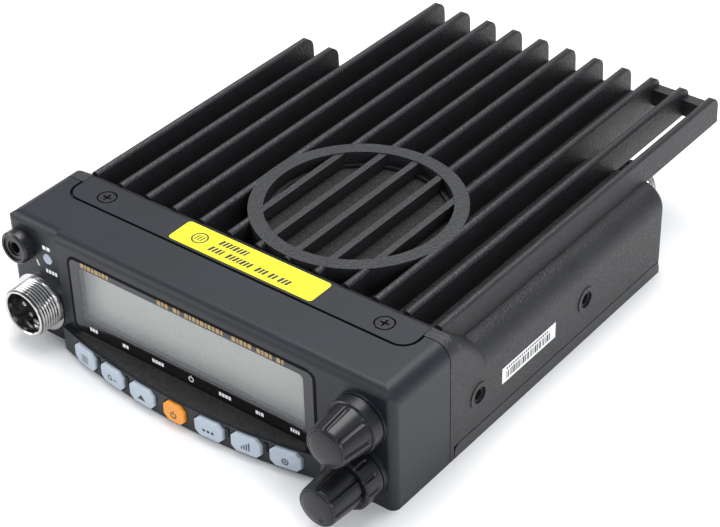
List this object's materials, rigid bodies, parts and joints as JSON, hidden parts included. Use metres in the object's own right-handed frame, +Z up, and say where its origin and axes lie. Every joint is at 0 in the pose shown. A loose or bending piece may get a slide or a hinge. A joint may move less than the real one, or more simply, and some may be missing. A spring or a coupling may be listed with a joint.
{
  "type": "mobile transceiver",
  "caption": "Compact vehicle two-way radio: finned cast chassis with speaker grille, control head with display, keys, knobs and round microphone socket.",
  "frame": {"origin": "under the middle of the whole unit, on the surface that it stands on", "axes": "+X to the operator's right, +Y from the control head to the rear, +Z up"},
  "size_m": [0.1424, 0.1966, 0.0401],
  "materials": {
    "cast_black": "textured black powder coat over cast aluminium",
    "sheet_black": "satin black paint on pressed steel",
    "head_plastic": "fine moulded grain",
    "window_clear": "clear acrylic",
    "display_glass": "grey-green liquid crystal glass",
    "white_plastic": "white moulding",
    "key_silver": "pale silver-blue paint",
    "key_orange": "tinted orange",
    "rubber_grey": "silicone rubber",
    "rubber_black": "moulded rubber",
    "board_green": "glass-fibre board with solder mask",
    "led_clear": "frosted clear lens",
    "knob_black": "satin-gloss moulding",
    "nickel": "nickel plate",
    "steel": "machined steel",
    "brass_contact": "plated contact",
    "dark_insulator": "moulded insulator",
    "speaker_fabric": "open acoustic cloth",
    "speaker_foam": "foam gasket",
    "magnet_ferrite": "ferrite in a steel cup",
    "cone_paper": "pressed cone",
    "capacitor_sleeve": "shrunk sleeve",
    "black_screw": "black oxide",
    "label_yellow": "printed label",
    "label_white": "printed label"
  },
  "bodies": {
    "radio": {"heatsink_chassis": "cast_black", "bottom_cover": "sheet_black", "head_clamp_plate": "head_plastic", "front_bezel": "head_plastic", "display_window": "window_clear", "lcd_panel": "display_glass", "lcd_holder": "white_plastic", "keypad_mat": "rubber_grey", "front_board": "board_green", "tx_led_lens": "led_clear", "tx_led": "white_plastic", "data_jack_body": "knob_black", "data_jack_liner": "nickel", "mic_socket_shell": "nickel", "mic_socket_nut": "nickel", "mic_socket_insulator": "dark_insulator", "mic_socket_pins": "nickel", "mic_socket_key": "nickel", "tuning_encoder": "steel", "dual_potentiometer": "steel", "speaker_cloth": "speaker_fabric", "speaker_gasket": "speaker_foam", "speaker_basket": "steel", "speaker_magnet": "magnet_ferrite", "main_board": "board_green", "head_link_connector": "white_plastic", "shield_can": "steel", "reservoir_capacitors": "capacitor_sleeve", "rf_power_module": "steel", "antenna_socket_shell": "nickel", "antenna_socket_nut": "nickel", "antenna_socket_insulator": "white_plastic", "antenna_socket_contact": "brass_contact", "external_speaker_jack": "knob_black", "supply_lead_gland": "rubber_black", "bottom_cover_screws": "black_screw", "board_screws": "steel", "head_clamp_screws": "black_screw", "module_screws": "steel", "top_label": "label_yellow", "side_label": "label_white"},
    "key_1": {"key_1": "key_silver"},
    "key_2": {"key_2": "key_silver"},
    "key_3": {"key_3": "key_silver"},
    "key_power": {"key_power": "key_orange"},
    "key_4": {"key_4": "key_silver"},
    "key_5": {"key_5": "key_silver"},
    "key_6": {"key_6": "key_silver"},
    "tuning_dial": {"tuning_shaft": "steel", "tuning_knob": "knob_black"},
    "volume_control": {"volume_shaft": "steel", "volume_knob": "knob_black"},
    "squelch_control": {"squelch_shaft": "steel", "squelch_ring": "knob_black"},
    "speaker_diaphragm": {"speaker_cone": "cone_paper"}
  },
  "joints": [
    {"name": "key_1_press", "type": "slide", "parent": "radio", "child": "key_1", "axis": [0, 1, 0], "range_m": [0, 0.0005], "stiffness_N_per_m": 1500},
    {"name": "key_2_press", "type": "slide", "parent": "radio", "child": "key_2", "axis": [0, 1, 0], "range_m": [0, 0.0005], "stiffness_N_per_m": 1500},
    {"name": "key_3_press", "type": "slide", "parent": "radio", "child": "key_3", "axis": [0, 1, 0], "range_m": [0, 0.0005], "stiffness_N_per_m": 1500},
    {"name": "key_power_press", "type": "slide", "parent": "radio", "child": "key_power", "axis": [0, 1, 0], "range_m": [0, 0.0005], "stiffness_N_per_m": 1500},
    {"name": "key_4_press", "type": "slide", "parent": "radio", "child": "key_4", "axis": [0, 1, 0], "range_m": [0, 0.0005], "stiffness_N_per_m": 1500},
    {"name": "key_5_press", "type": "slide", "parent": "radio", "child": "key_5", "axis": [0, 1, 0], "range_m": [0, 0.0005], "stiffness_N_per_m": 1500},
    {"name": "key_6_press", "type": "slide", "parent": "radio", "child": "key_6", "axis": [0, 1, 0], "range_m": [0, 0.0005], "stiffness_N_per_m": 1500},
    {"name": "tuning_turn", "type": "hinge", "parent": "radio", "child": "tuning_dial", "pos_m": [0.0605, -0.08603, 0.0276], "axis": [0, 1, 0], "continuous": true},
    {"name": "volume_turn", "type": "hinge", "parent": "radio", "child": "volume_control", "pos_m": [0.0605, -0.09302, 0.0106], "axis": [0, 1, 0], "range_deg": [-280, 0]},
    {"name": "squelch_turn", "type": "hinge", "parent": "radio", "child": "squelch_control", "pos_m": [0.0605, -0.08303, 0.0106], "axis": [0, 1, 0], "range_deg": [0, 280]},
    {"name": "diaphragm_stroke", "type": "slide", "parent": "radio", "child": "speaker_diaphragm", "axis": [0, 0, 1], "range_m": [-0.0004, 0.0004], "stiffness_N_per_m": 2000}
  ]
}
